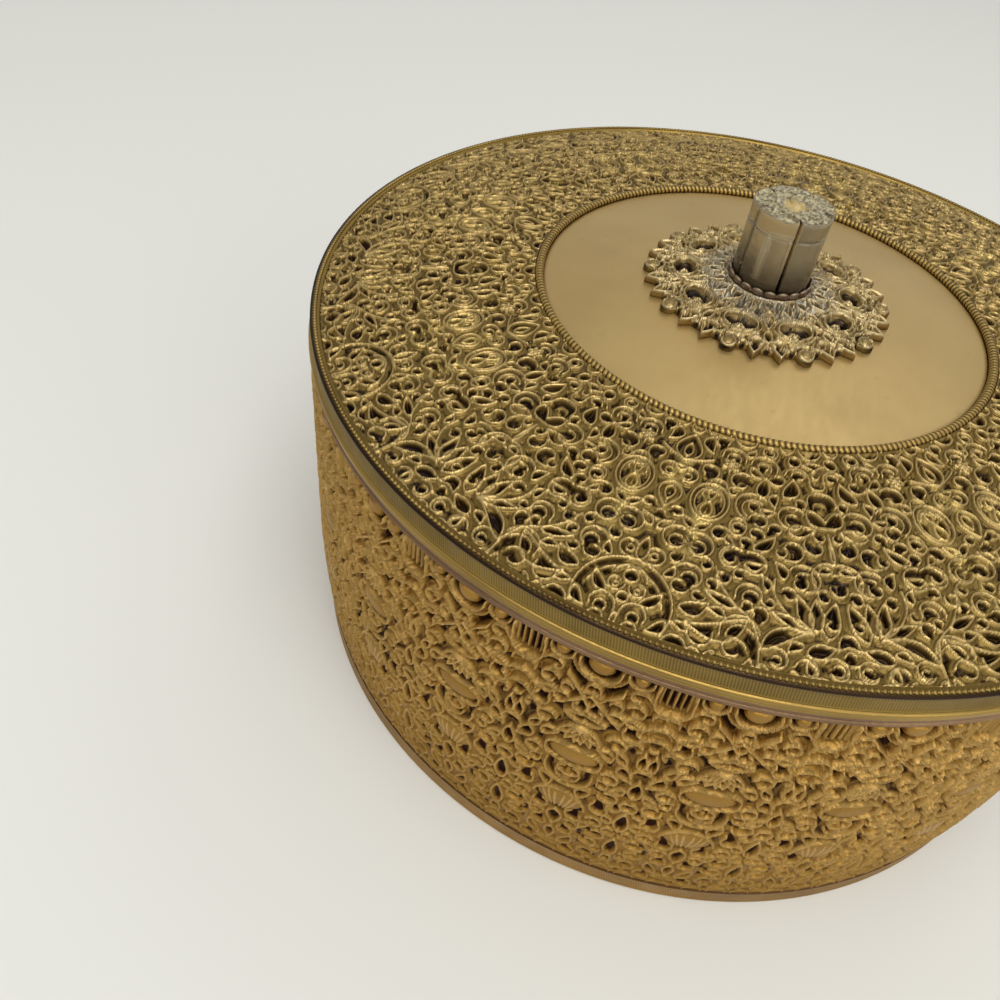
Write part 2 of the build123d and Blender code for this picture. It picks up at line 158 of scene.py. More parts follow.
class Relief:
    """Ridges and hollows over a grid of flat points, from 0 on the crests down to -1 at the ground."""

    unreached = 99.0
    ridge_reach = 4.0
    crest_width = 0.2
    cup_distances, cup_heights = (0, 0.1, 0.28, 0.6, 0.9), (0, -0.05, -0.62, -0.94, -1)
    band_distances = (0, 0.1, 0.24, 0.42, 0.66, 0.8, 1.05, 1.4)

    def __init__(self, x, y, scale=1.0, shelf=0.38):
        self.x, self.y = x, y
        self.scale = scale
        self.band_heights = (0, -0.05, -shelf - 0.02, -shelf - 0.06, -shelf, -shelf - 0.16, -0.86, -1)
        self.height = np.full(x.shape, -1.0)
        self.distance = np.full(x.shape, self.unreached)
        self.gap = np.full(x.shape, self.unreached)
        # Where a painted highlight goes along the ridge crests
        self.crest = np.zeros(x.shape)

    def measure(self, curve, reach):
        """The grid points near a curve, their distance from it, and whether they lie on its concave side.
        """
        low, high = curve.min(0) - reach, curve.max(0) + reach
        near = (self.x > low[0]) & (self.x < high[0]) & (self.y > low[1]) & (self.y < high[1])
        points = np.stack([self.x[near], self.y[near]], 1)
        start, step = curve[:-1], np.diff(curve, axis=0)
        length_squared = np.maximum((step**2).sum(1), 1e-9)
        offset = points[:, None] - start[None]
        share = np.clip((offset * step).sum(2) / length_squared, 0, 1)
        gap = offset - share[..., None] * step
        distance = np.hypot(gap[..., 0], gap[..., 1])
        rows, nearest = np.arange(len(points)), distance.argmin(1)
        side = step[nearest, 0] * offset[rows, nearest, 1] - step[nearest, 1] * offset[rows, nearest, 0]
        return near, distance[rows, nearest], side > 0

    def ridge(self, curve, strength=1.0):
        """A thin raised line with a cup on its concave side and a low round band on the other."""
        near, distance, inside = self.measure(curve, self.ridge_reach * self.scale)
        d = distance / self.scale
        cup = np.interp(d, self.cup_distances, self.cup_heights)
        band = np.interp(d, self.band_distances, self.band_heights)
        height = np.where(inside, cup, band) - (1 - strength)
        self.height[near] = np.maximum(self.height[near], height)
        # Painted highlight along the top of each ridge
        self.crest[near] = np.maximum(self.crest[near], strength * np.exp(-((d / self.crest_width) ** 2)))
        self.distance[near] = np.minimum(self.distance[near], d * self.scale)
        self.gap[near] = np.minimum(self.gap[near], d)

    def boss(self, x, y, half_width, half_height, top=-0.05, edge=-0.45, surround=1.35):
        """A smooth swelling with an elliptical outline, which the filling curls keep clear of."""
        q = ((self.x - x) / half_width) ** 2 + ((self.y - y) / half_height) ** 2
        on = q < 1
        self.height[on] = np.maximum(self.height[on], top + (edge - top) * q[on] ** 1.5)
        self.distance[q < surround] = 0.0

    def fill(self, smallest, largest, lean=0.0):
        """Curls and bent leaves in every space that is still open, the widest first."""
        golden_turn, curl_sweep, curl_shrink, snug, cleared, strength = 137.5, 285, 0.5, 0.92, 0.8, 0.96
        leaf_share, leaf_bend = 0.5, 0.15
        count = 0
        while self.distance.max() > smallest:
            i = np.unravel_index(self.distance.argmax(), self.distance.shape)
            x, y = self.x[i], self.y[i]
            radius = min(self.distance[i] * snug, largest)
            heading = lean + golden_turn * count
            a = math.radians(heading)
            ax, ay = radius * math.cos(a), radius * math.sin(a)
            sweep = curl_sweep if count % 2 else -curl_sweep
            if count % 3 == 2:
                self.ridge(leaf(x - ax, y - ay, x + ax, y + ay, leaf_share * radius, leaf_bend), strength)
            else:
                self.ridge(scroll(x, y, radius, heading, sweep, curl_shrink), strength)
            self.distance[np.hypot(self.x - x, self.y - y) < radius * cleared] = 0.0
            count += 1

    def ground(self):
        """Plain patches that rise a little in the middle of the wider cups and spaces."""
        self.height = np.maximum(self.height, np.interp(self.gap, (0.7, 1.15, 1.8), (-1, -0.66, -0.6)))

    def hollows(self, reach, contrast=2.2, deep=-0.74):
        """How far each point lies below its surroundings, from 0 to 1, over some cells each way; this is
        how much painted shade each point gets.
        """
        mean = self.height
        for axis in (0, 1):
            pad = [(reach, reach) if k == axis else (0, 0) for k in (0, 1)]
            total = np.pad(mean, pad, mode="reflect").cumsum(axis)
            total = np.insert(total, 0, 0, axis)
            count, width = mean.shape[axis], 2 * reach + 1
            behind, ahead = (np.take(total, range(first, first + count), axis) for first in (0, width))
            mean = (ahead - behind) / width
        # The deepest ground and the openings get full painted shade
        deepest = np.clip(deep - self.height, 0, 1) * 2.0
        return np.clip((mean - self.height) * contrast + deepest, 0, 1)


# Points of rings round the axis
def round_axis(radius, height, angle):
    """Points at a radius, a height and an angle round the axis, each a number or an array."""
    radius, height, angle = np.broadcast_arrays(radius, height, angle)
    return np.stack([radius * np.cos(angle), radius * np.sin(angle), height], -1)


def full_turn(columns, phase=0.0, first=0.0):
    """Angles of evenly spaced columns. The phase is in degrees and first in shares of their spacing."""
    return math.radians(phase) + (np.arange(columns) + first) * 2 * math.pi / columns


def turned(profile, columns):
    """Rows of points round the axis from a list of (radius, height)."""
    radius, height = np.array(profile, float).T
    return round_axis(radius[:, None], height[:, None], full_turn(columns))


def arc_points(x, z, radius, start, stop, steps):
    """Points of a round edge in a profile, in degrees from outwards to up."""
    angles = np.radians(np.linspace(start, stop, steps))
    return [(x + radius * math.cos(a), z + radius * math.sin(a)) for a in angles]


def half_repeat(half, repeats):
    """Angles of the columns of half a repeat, from its middle."""
    return (np.arange(half) + 0.5) / half * math.pi / repeats


def unfolded(half, repeats, phase):
    """Column numbers that unfold half a repeat and its mirror image round the axis, and their angles."""
    forward = np.arange(half)
    column = np.tile(np.concatenate([forward, forward[::-1]]), repeats)
    return column, full_turn(len(column), phase, 0.5)


def vertex_values(column, before, after, **fields):
    """Fields over half a repeat as values on the vertices, with empty rows before and after them."""
    first, last = np.zeros((before, len(column))), np.zeros((after, len(column)))
    return {name: np.vstack([first, field[:, column], last]) for name, field in fields.items()}


# Meshes
def ring_faces(rows, columns, closed):
    """Quads between rows of points round the axis; closed joins the last row to the first."""
    i = np.arange(rows if closed else rows - 1)[:, None]
    j = np.arange(columns)[None]
    i2, j2 = (i + 1) % rows, (j + 1) % columns
    quads = np.stack([i * columns + j, i * columns + j2, i2 * columns + j2, i2 * columns + j], -1)
    return quads.reshape(-1, 4)


def ring_uv(rows, columns, closed, blocks, margin=0.01):
    """A map that cuts the ring into blocks x blocks sectors and lays them side by side."""
    bands, last = rows if closed else rows - 1, blocks**2 - 1
    sector = columns // blocks**2
    i, j = np.meshgrid(np.arange(bands), np.arange(columns), indexing="ij")
    s = np.minimum(j // sector, last)
    widest = columns - last * sector
    left, right = (j - s * sector) / widest, (j + 1 - s * sector) / widest
    low, high = i / bands, (i + 1) / bands
    corners = []
    for u, v in ((left, low), (right, low), (right, high), (left, high)):
        u, v = (margin + (1 - 2 * margin) * share for share in (u, v))
        corners.append(np.stack([(s % blocks + u) / blocks, (s // blocks + v) / blocks], -1))
    return np.stack(corners, -2)


def build_mesh(name, points, faces, uv, values):
    """A smooth mesh from arrays of points, quads and map corners, with named values on its points."""
    mesh = bpy.data.meshes.new(name)
    mesh.vertices.add(len(points))
    mesh.vertices.foreach_set("co", (points * MM).astype(np.float32).ravel())
    mesh.loops.add(faces.size)
    mesh.loops.foreach_set("vertex_index", faces.astype(np.int32).ravel())
    mesh.polygons.add(len(faces))
    mesh.polygons.foreach_set("loop_start", np.arange(0, faces.size, faces.shape[1], dtype=np.int32))
    mesh.update(calc_edges=True)
    mesh.shade_smooth()
    for key, data in values.items():
        attribute = mesh.attributes.new(key, "FLOAT", "POINT")
        attribute.data.foreach_set("value", data.astype(np.float32).ravel())
    mesh.uv_layers.new(name="OFBake").data.foreach_set("uv", uv.astype(np.float32).ravel())
    return mesh


def ring_piece(name, rows, body, material, node, closed=True, blocks=1, values=None):
    """A ring in place of a node. Its rows go up outside, inwards on top, down inside and out below."""
    count, columns = rows.shape[:2]
    faces, uv = ring_faces(count, columns, closed), ring_uv(count, columns, closed, blocks)
    mesh = build_mesh(name, rows.reshape(-1, 3), faces, uv, values or {})
    mesh.materials.append(material)
    obj = bpy.data.objects.new(name, mesh)
    bpy.context.scene.collection.objects.link(obj)
    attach(obj, body)
    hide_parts(node)
    return obj


# Materials. Noise scales are in waves per metre.
cloud_scale = 70.0
haze_scale = 260.0
mark_scale = 420.0
grain_scale = 900.0


class Shader:
    """A material with short calls for the nodes it needs."""

    def __init__(self, name):
        self.material = bpy.data.materials.new(name)
        self.material.use_nodes = True
        self.tree = self.material.node_tree
        self.surface = self.tree.nodes["Principled BSDF"]
        self.place = self.tree.nodes.new("ShaderNodeTexCoord").outputs["Object"]

    def feed(self, node, socket, value):
        """Give a node's input a number, a colour or another node's output."""
        if isinstance(value, (int, float, tuple)):
            node.inputs[socket].default_value = value
        else:
            self.tree.links.new(value, node.inputs[socket])

    def attribute(self, name):
        node = self.tree.nodes.new("ShaderNodeAttribute")
        node.attribute_name = name
        return node.outputs["Fac"]

    def noise(self, scale, detail=3.0, stretch=(1, 1, 1)):
        node = self.tree.nodes.new("ShaderNodeTexNoise")
        self.feed(node, "Scale", scale)
        self.feed(node, "Detail", detail)
        place = self.place
        if stretch != (1, 1, 1):
            mapping = self.tree.nodes.new("ShaderNodeMapping")
            self.feed(mapping, "Scale", stretch)
            self.feed(mapping, "Vector", place)
            place = mapping.outputs["Vector"]
        self.feed(node, "Vector", place)
        return node.outputs["Fac"]

    def span(self, value, low, high, to_low=0.0, to_high=1.0):
        """Maps low to to_low and high to to_high, and clamps."""
        node = self.tree.nodes.new("ShaderNodeMapRange")
        ends = {"From Min": low, "From Max": high, "To Min": to_low, "To Max": to_high}
        for socket, number in ends.items():
            self.feed(node, socket, number)
        self.feed(node, "Value", value)
        return node.outputs["Result"]

    def times(self, a, b):
        node = self.tree.nodes.new("ShaderNodeMath")
        node.operation = "MULTIPLY"
        self.feed(node, 0, a)
        self.feed(node, 1, b)
        return node.outputs["Value"]

    def mix(self, share, a, b):
        """Colour a, with b over it by a share."""
        node = self.tree.nodes.new("ShaderNodeMix")
        node.data_type = "RGBA"
        self.feed(node, "Factor", share)
        self.feed(node, 6, a)
        self.feed(node, 7, b)
        return node.outputs[2]

    def bump(self, value, distance, strength=1.0):
        node = self.tree.nodes.new("ShaderNodeBump")
        self.feed(node, "Distance", distance)
        self.feed(node, "Strength", strength)
        self.feed(node, "Height", value)
        self.feed(self.surface, "Normal", node.outputs["Normal"])

    def set(self, **values):
        for key, value in values.items():
            self.feed(self.surface, key.replace("_", " "), value)


def srgb(red, green, blue):
    """A colour as seen on a screen, 0 to 255, as the linear RGBA that shaders take."""
    shares = [c / 255 for c in (red, green, blue)]
    return tuple(s / 12.92 if s < 0.0405 else ((s + 0.055) / 1.055) ** 2.4 for s in shares) + (1.0,)


def darker(colour, share):
    """A colour with its light cut to a share."""
    return tuple(c * share for c in colour[:3]) + (1.0,)


def gilt(name, crest, body, deep, patina, patina_share=0.4, worn=None, rough=(0.32, 0.5), pitted=0.00005):
    """Gilding on relief: a painted highlight on the crests, a plain body colour, painted brown shade in the
    recesses, and dark patina spots in them.
    """
    s = Shader(name)
    hollow = s.attribute("hollow")
    crests = s.attribute("crest")
    cloud = s.noise(cloud_scale, 4.0)
    grain = s.noise(grain_scale, 3.0)
    colour = s.mix(s.span(cloud, 0.35, 0.7), body, darker(body, 0.8))
    # Painted shade: the recesses go towards the deep colour
    colour = s.mix(s.span(hollow, 0.12, 0.75), colour, deep)
    # Real patina spots gather in the same recesses
    spots = s.times(s.span(cloud, 0.5, 0.62), s.span(hollow, 0.1, 0.6, 0.0, patina_share))
    colour = s.mix(spots, colour, patina)
    # Painted highlight along the crests, broken up by the grain
    colour = s.mix(s.times(s.span(crests, 0.25, 0.9), s.span(grain, 0.2, 0.6, 0.5, 1.0)), colour, crest)
    if worn:
        colour = s.mix(s.times(s.attribute("worn"), s.span(grain, 0.35, 0.6)), colour, worn)
    s.set(Base_Color=colour, Metallic=0.85, Roughness=s.span(s.noise(haze_scale), 0.3, 0.7, *rough))
    s.bump(grain, pitted)
    return s.material


def plain_metal(name, colour, shade, rough=(0.28, 0.45), brushed=(1500.0, 2.0), metallic=0.9):
    """Smooth metal with faint clouds, fine scratches and small marks."""
    s = Shader(name)
    cloud = s.noise(45.0, 4.0)
    marks = s.noise(mark_scale, 5.0)
    fine = s.noise(*brushed)
    base = s.mix(s.span(cloud, 0.3, 0.75), colour, shade)
    base = s.mix(s.span(marks, 0.66, 0.78, 0.0, 0.35), base, darker(colour, 0.55))
    s.set(Base_Color=base, Metallic=metallic, Roughness=s.span(fine, 0.3, 0.7, *rough))
    s.bump(fine, 0.00002, 0.6)
    return s.material


def cloth(name, colour, shade, thread=2600.0, bump=0.00006):
    """Woven satin cloth with fine threads and a soft sheen."""
    s = Shader(name)
    warp = s.noise(thread, 2.0, (1.0, 0.06, 1.0))
    weft = s.noise(thread, 2.0, (0.06, 1.0, 1.0))
    weave = s.times(warp, weft)
    base = s.mix(s.span(weave, 0.12, 0.36), shade, colour)
    s.set(Base_Color=base, Roughness=s.span(s.noise(120.0), 0.3, 0.7, 0.55, 0.8))
    s.set(Sheen_Weight=0.3)
    s.bump(weave, bump)
    return s.material


def clear(name):
    """Clear acrylic gone slightly misty, with brown painted shade towards its foot, painted glints on its
    top, a painted view of the brass screw end through its top, and painted shade in its slots.
    """
    foot_shade_rise = 8.0
    s = Shader(name)
    height = s.tree.nodes.new("ShaderNodeSeparateXYZ")
    s.feed(height, "Vector", s.place)
    rise = s.span(height.outputs["Z"], knob_bottom * MM, (knob_bottom + foot_shade_rise) * MM)
    # Painted shade: brown at the foot, fading to the pale side colour over the lowest 8 mm
    colour = s.mix(rise, srgb(84, 60, 38), srgb(214, 197, 158))
    # Painted glints on the crinkled top
    painted_glints = s.mix(s.span(s.noise(1300.0, 4.0), 0.4, 0.62), srgb(120, 108, 68), srgb(236, 222, 178))
    colour = s.mix(s.attribute("top"), colour, painted_glints)
    # Painted view of the brass screw end seen through the top
    colour = s.mix(s.attribute("painted_screw_view"), colour, srgb(238, 208, 132))
    # Painted shade in the slots
    colour = s.mix(s.attribute("hollow"), colour, srgb(34, 24, 14))
    s.set(Base_Color=colour, Roughness=s.span(s.noise(500.0), 0.4, 0.75, 0.1, 0.22))
    s.set(Transmission_Weight=s.span(s.attribute("top"), 0.0, 1.0, 0.72, 0.45))
    s.set(IOR=1.49)
    return s.material


# Each gilt takes, in order, the painted crest highlight colour, the body colour, the painted shade colour
# for the recesses and the patina colour
lid_gilt = gilt(
    "lid_gilt", srgb(204, 176, 116), srgb(124, 101, 50), srgb(48, 33, 15), srgb(36, 25, 26),
    patina_share=0.85, worn=srgb(218, 192, 116),
)
wall_gilt = gilt(
    "wall_gilt", srgb(210, 172, 102), srgb(168, 128, 58), srgb(54, 26, 12), srgb(40, 16, 12),
    patina_share=0.9, rough=(0.42, 0.6), pitted=0.0003,
)
rosette_gilt = gilt(
    "rosette_gilt", srgb(222, 200, 150), srgb(160, 136, 86), srgb(40, 28, 16), srgb(30, 22, 22),
    patina_share=0.9, worn=srgb(164, 156, 138),
)
cup_gilt = gilt(
    "cup_gilt", srgb(168, 152, 124), srgb(108, 80, 56), srgb(52, 30, 22), srgb(44, 24, 18),
    patina_share=0.6, worn=srgb(132, 116, 96),
)
band_gilt = gilt("band_gilt", srgb(176, 148, 86), srgb(152, 125, 60), srgb(48, 33, 18), srgb(50, 34, 22))
foot_gilt = gilt("foot_gilt", srgb(186, 150, 90), srgb(176, 138, 74), srgb(96, 64, 30), srgb(90, 60, 30))
rope_gilt = gilt("rope_gilt", srgb(182, 154, 88), srgb(142, 114, 58), srgb(70, 50, 24), srgb(60, 42, 24))
pearl_gilt = plain_metal("pearl_gilt", srgb(158, 132, 72), srgb(96, 74, 38))
bead_gilt = plain_metal("bead_gilt", srgb(176, 146, 78), srgb(140, 112, 58))
lip_copper = plain_metal("lip_copper", srgb(158, 128, 96), srgb(118, 90, 66), (0.4, 0.6))
satin_gilt = plain_metal(
    "satin_gilt", srgb(190, 163, 106), srgb(178, 150, 96),
    rough=(0.36, 0.46), brushed=(700.0, 3.0, (1.0, 0.3, 1.0)), metallic=0.7,
)
plain_brass = plain_metal("plain_brass", srgb(206, 172, 98), srgb(184, 148, 78), (0.25, 0.4))
acrylic = clear("acrylic")
lining_cloth = cloth("lining_cloth", srgb(196, 164, 112), srgb(150, 120, 76))
felt = cloth("felt", srgb(84, 66, 46), srgb(60, 46, 32), 1400.0, 0.0001)


# Lid: filigree ring
def lid_ornament(relief):
    """Half a repeat of the lid's scrollwork: x is across from the spine, y the distance from the axis."""
    r = relief.ridge
    # Spine, from the rope ring outwards: palmette, paired loops, heart, curls and a round cartouche
    r(leaf(0, 55.2, 0, 48.9, 2.1))
    r(leaf(0, 54.0, 0, 50.8, 0.7), 0.85)
    r(stem((0, 55.3), (1.6, 54.6), (3.2, 53.8), (4.4, 53.0)))
    r(scroll(1.6, 58.2, 1.7, 250, 280, 0.75))
    r(scroll(1.5, 58.2, 0.7, 250, 280), 0.8)
    r(leaf(0, 60.4, 0, 65.9, 1.8))
    r(leaf(0, 61.2, 0, 64.2, 0.8), 0.85)
    r(scroll(2.3, 66.0, 1.15, 200, 300, 0.6))
    r(leaf(0.4, 70.2, 2.6, 68.0, 0.7))
    r(scroll(1.95, 75.2, 1.9, 120, -310, 0.6))
    r(scroll(1.95, 75.2, 0.6, 0, 300), 0.8)
    r(leaf(0, 77.0, 0, 72.4, 0.9))
    r(scroll(0, 84.5, 7.4, 270, 112))
    r(scroll(0, 84.5, 5.9, 270, 75), 0.9)
    r(scroll(0, 80.8, 2.6, 275, 62))
    r(scroll(1.7, 81.9, 1.35, 190, -290, 0.75))
    r(scroll(1.7, 81.9, 0.45, 0, 300), 0.8)
    r(leaf(2.6, 84.0, 5.2, 80.8, 0.8, 0.1))
    r(scroll(2.5, 85.9, 2.1, 165, 215, 0.8))
    r(scroll(2.5, 86.1, 0.9, 150, 230), 0.85)
    r(leaf(6.9, 84.8, 4.6, 87.3, 0.8, -0.15))
    # Side column: bloom, crown, medallion, knot with wings and a heart of two curls
    for petal in range(6):
        a = math.radians(60 * petal + 30)
        r(leaf(7.2, 52.6, 7.2 + 1.5 * math.cos(a), 52.6 + 1.5 * math.sin(a), 0.35), 0.95)
    r(scroll(7.2, 50.6, 1.9, 175, 190))
    r(scroll(7.2, 50.8, 1.1, 175, 190), 0.85)
    r(scroll(6.5, 58.0, 1.4, 190, 160))
    r(oval(6.2, 61.7, 3.0, 3.8))
    r(oval(6.2, 61.7, 2.3, 3.1), 0.85)
    r(scroll(6.2, 60.6, 1.5, 180, 180), 0.9)
    r(leaf(6.1, 65.0, 6.2, 61.6, 0.9))
    r(leaf(5.6, 67.9, 3.1, 66.1, 0.65))
    r(leaf(5.6, 67.9, 7.8, 65.8, 0.65))
    r(scroll(3.7, 70.8, 2.6, 310, -290, 0.6))
    r(scroll(3.9, 70.9, 1.2, 300, -260), 0.8)
    r(scroll(7.3, 70.6, 2.6, 230, 290, 0.6))
    r(scroll(7.2, 70.7, 1.2, 240, 260), 0.8)
    # Third column: crescents, open curls and a second heart
    r(oval(12.2, 46.9, 1.2, 1.4))
    r(oval(16.2, 46.8, 1.0, 1.2))
    r(scroll(12.1, 50.3, 2.1, 180, 180))
    r(scroll(12.1, 50.5, 1.2, 180, 180), 0.85)
    r(scroll(17.4, 50.0, 1.9, 180, 180))
    r(leaf(13.2, 57.2, 13.0, 52.6, 1.0))
    r(scroll(12.7, 59.6, 2.8, 300, -200))
    r(scroll(12.9, 59.7, 1.9, 300, -190), 0.85)
    r(scroll(14.2, 61.8, 1.6, 180, 310, 0.6))
    r(scroll(18.7, 58.9, 2.6, 300, -275, 0.7))
    r(scroll(18.9, 58.9, 1.2, 290, -230), 0.85)
    r(leaf(18.8, 61.6, 22.4, 59.2, 1.1))
    r(oval(11.5, 64.4, 1.3, 1.7))
    r(leaf(14.8, 67.3, 17.2, 63.4, 0.9, 0.1))
    r(scroll(12.3, 70.4, 2.3, 300, -290, 0.6))
    r(scroll(15.6, 70.0, 2.4, 230, 290, 0.6))
    r(scroll(7.6, 76.3, 2.4, 200, 220, 0.7))
    r(scroll(7.7, 76.5, 1.2, 190, 220), 0.85)
    # First fan: a stalk with leaves on both sides, its foot near the edge
    r(stem((10.6, 72.8), (12.3, 75.5), (15.0, 77.7), (17.7, 79.0), (19.8, 82.0), (20.7, 86.0)))
    r(scroll(16.6, 75.2, 2.2, 150, 215, 0.75))
    r(scroll(16.8, 75.4, 1.2, 150, 215), 0.85)
    r(leaf(15.2, 78.2, 10.2, 77.3, 0.75))
    r(scroll(12.0, 74.1, 1.3, 330, 300, 0.6))
    r(leaf(17.4, 79.3, 9.2, 83.4, 1.5, -0.2))
    r(scroll(17.0, 81.8, 2.9, 335, -180))
    r(scroll(17.2, 82.2, 2.0, 330, -160), 0.85)
    r(scroll(16.7, 84.4, 1.9, 335, -310, 0.55))
    r(scroll(11.7, 84.3, 2.0, 330, 215, 0.8))
    r(leaf(20.3, 82.6, 26.0, 77.0, 1.1, -0.12))
    r(scroll(22.8, 83.0, 1.9, 200, 290, 0.6))
    r(scroll(22.8, 83.0, 0.7, 200, 290), 0.8)
    # Second fan, about the line between two repeats
    r(stem((19.1, 70.8), (20.0, 73.7), (23.0, 76.0), (26.6, 77.0)))
    r(leaf(26.4, 76.9, 19.9, 76.3, 0.85))
    r(scroll(21.7, 72.4, 1.25, 200, 310, 0.6))
    r(leaf(26.0, 76.6, 22.8, 71.8, 1.05))
    r(leaf(26.9, 76.4, 25.4, 71.2, 1.05))
    r(leaf(28.6, 76.8, 28.2, 70.4, 1.3))
    r(scroll(23.2, 68.8, 2.6, 200, 235, 0.8))
    r(scroll(23.3, 69.0, 1.6, 200, 215), 0.85)
    r(scroll(26.6, 67.0, 2.8, 290, -165))
    r(leaf(26.8, 64.2, 24.4, 58.8, 1.0, 0.1))
    r(leaf(26.4, 80.4, 30.0, 77.6, 1.1))
    r(scroll(27.2, 82.6, 1.8, 180, 300, 0.6))
    r(scroll(31.0, 80.8, 2.0, 200, 300, 0.6))


def ring_height(radius):
    """Height of the filigree ring's crests at a distance from the axis."""
    share = (ring_outer - radius) / (ring_outer - ring_inner)
    return rim_top + (ring_crest - rim_top) * share + 4 * dome_bulge * share * (1 - share)


def rubbed(relief, x, y, half_width, half_length, most=0.7):
    """A soft upright patch where the gilding is rubbed pale."""
    return most * np.exp(-(((relief.x - x) / half_width) ** 2) - ((relief.y - y) / half_length) ** 2)


def filigree_ring():
    """Domed ring of the lid with its scrollwork cut in relief."""
    rows, half, depth = 204, 146, 1.6
    border, border_height = 0.45, -0.25
    radius = np.linspace(ring_outer, ring_inner, rows)
    r, a = np.meshgrid(radius, half_repeat(half, lid_repeats), indexing="ij")
    relief = Relief(r * np.sin(a), r * np.cos(a))
    lid_ornament(relief)
    relief.fill(smallest=1.15, largest=2.3)
    relief.ground()
    edge = np.minimum(ring_outer - r, r - ring_inner) < border
    relief.height[edge] = np.maximum(relief.height[edge], border_height)
    # Painted shade in the recesses of the scrollwork
    hollow = relief.hollows(reach=9)
    # Plain patches away from the ridges get some of the painted highlight too
    relief.crest = np.maximum(relief.crest, np.interp(relief.gap, (0.9, 1.3), (0, 0.45)))
    worn = rubbed(relief, 0.0, 60.0, 1.3, 5.0) + rubbed(relief, 6.0, 66.0, 1.2, 7.0)
    column, angle = unfolded(half, lid_repeats, lid_phase)
    top = ring_height(r) + relief.height * depth
    under_radius = np.array([[ring_inner], [ring_outer]])
    under_height = np.array([[ring_crest], [rim_top]]) - ring_thickness
    upper = round_axis(radius[:, None], top[:, column], angle)
    under = round_axis(under_radius, under_height, angle)
    values = vertex_values(column, 0, 2, crest=relief.crest, hollow=hollow, worn=np.clip(worn, 0, 1))
    ring_piece(
        "lid_filigree", np.vstack([upper, under]), "lid", lid_gilt, "filigree_ring",
        blocks=4, values=values,
    )


filigree_ring()


# Body: embossed side
def wall_ornament(relief):
    """Half a repeat of the side. x is across from the shell's middle and y is the depth below the lip."""
    r, boss = relief.ridge, relief.boss
    half = math.pi * wall_radius / wall_repeats
    # Shells and combs under the lip
    boss(0, 0.9, 2.3, 2.3)
    r(scroll(0, 0.9, 3.4, 0, 180))
    r(scroll(0, 0.9, 4.5, 0, 180), 0.8)
    boss(6.3, 0.7, 1.3, 1.4)
    r(scroll(6.3, 0.7, 2.0, 0, 180), 0.9)
    for tooth in range(3):
        r(stem((half - tooth * 1.05, 0.4), (half - tooth * 1.05, 4.8)), 0.7)
    r(stem((half - 2.7, 0.2), (half - 2.6, 5.4), (half, 6.6)))
    # Crossed stalks, arch and curls
    r(stem((4.6, 5.6), (2.2, 8.2), (0, 11.8)))
    r(stem((0, 8.6), (2.6, 11.4), (5.6, 14.2)))
    r(oval(0, 10.2, 0.9, 1.3), 0.9)
    r(scroll(half, 13.4, 2.9, 180, 180))
    r(scroll(half, 13.4, 1.9, 180, 180), 0.8)
    r(scroll(7.2, 8.4, 1.8, 200, 290, 0.6))
    r(scroll(4.6, 12.2, 1.6, 220, 290, 0.6))
    r(scroll(8.0, 15.0, 1.9, 220, -290, 0.6))
    # Spray of leaves over the block
    for lean, length in ((0.6, 4.6), (2.3, 4.4), (3.9, 3.2)):
        r(leaf(0.2, 18.2, lean, 18.2 + length, 0.75))
    r(scroll(6.2, 19.2, 2.0, 200, 280, 0.6))
    r(leaf(half - 0.9, 23.6, half - 0.9, 18.8, 0.8))
    r(leaf(8.6, 24.0, 6.6, 20.6, 0.8))
    # Block, tongue with wings, and the large shell
    boss(0, 27.4, 4.4, 2.3)
    r(stem((0, 25.0), (3.0, 24.9), (4.9, 26.2), (4.4, 29.2), (0, 30.2)))
    boss(0, 34.4, 1.0, 2.3)
    r(scroll(0, 33.6, 2.2, 0, 180), 0.9)
    r(scroll(0, 32.8, 4.3, 350, 190))
    r(scroll(7.0, 30.0, 1.9, 210, 290, 0.6))
    r(scroll(8.0, 35.6, 2.1, 150, -290, 0.6))
    r(leaf(half, 33.4, half, 27.8, 1.2))
    boss(0, 43.0, 4.3, 2.7)
    r(scroll(0, 44.6, 5.0, 190, 160))
    for rib in (0.9, 2.2, 3.4):
        r(stem((rib * 0.5, 45.6), (rib, 41.2)), 0.9)
    r(leaf(half, 46.4, half, 39.2, 1.3))
    r(scroll(7.2, 46.2, 1.8, 200, 290, 0.6))
    # Low scrolls towards the base
    r(leaf(0, 47.2, 0, 53.4, 1.4))
    r(scroll(3.4, 51.0, 1.8, 220, 290, 0.6))
    r(leaf(half, 57.6, half, 49.6, 1.3))
    r(scroll(7.6, 54.6, 1.9, 160, -290, 0.6))
    r(leaf(2.0, 60.8, 4.2, 55.6, 1.0, 0.1))
    r(leaf(0, 55.0, 0, 60.6, 1.0))


def wall_profile(height):
    """Radius of the side's crests at a height above the table."""
    drop = np.clip((wall_waist - height) / (wall_waist - wall_bottom), 0, 1)
    return wall_radius - (wall_radius - base_radius) * drop**2


